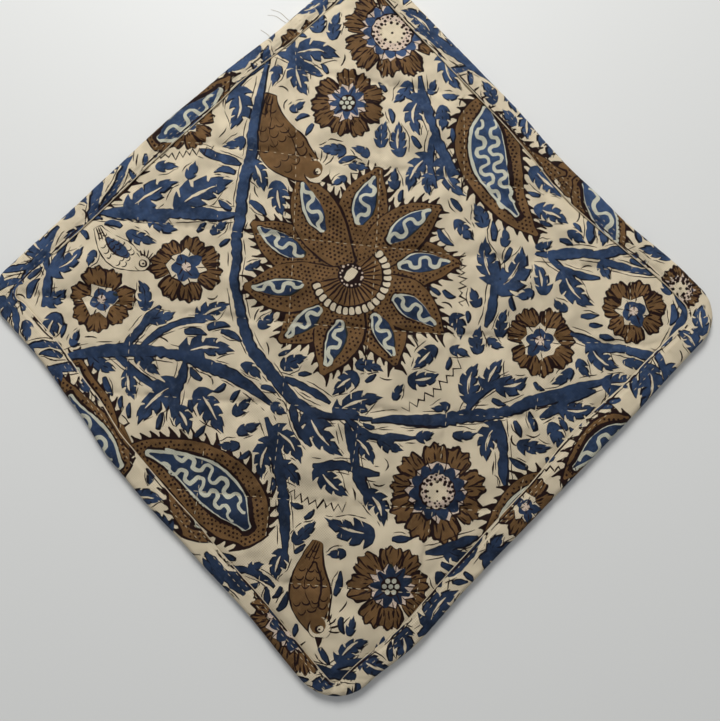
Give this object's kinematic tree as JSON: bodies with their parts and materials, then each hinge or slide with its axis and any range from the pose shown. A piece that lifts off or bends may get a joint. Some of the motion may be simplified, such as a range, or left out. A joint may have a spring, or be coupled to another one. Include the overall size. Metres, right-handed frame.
{
  "type": "quilted pot holder",
  "caption": "Square quilted cloth pot holder: a filled pad sewn through in squares, bound round its rounded corners with a folded cloth strip.",
  "frame": {"origin": "middle of the outer box's base, on the surface the pot holder rests on", "axes": "+Z out of the printed face; X and Y along the sides"},
  "size_m": [0.221, 0.221, 0.0062],
  "materials": {
    "printed_cotton": "matt printed cotton over filling: cream ground with a blue, brown and maroon traditional flower print",
    "binding_cotton": "matt printed cotton strip, the same cloth as the pad's face"
  },
  "bodies": {
    "root": {"quilted_pad": "printed_cotton", "edge_binding": "binding_cotton"}
  },
  "joints": []
}
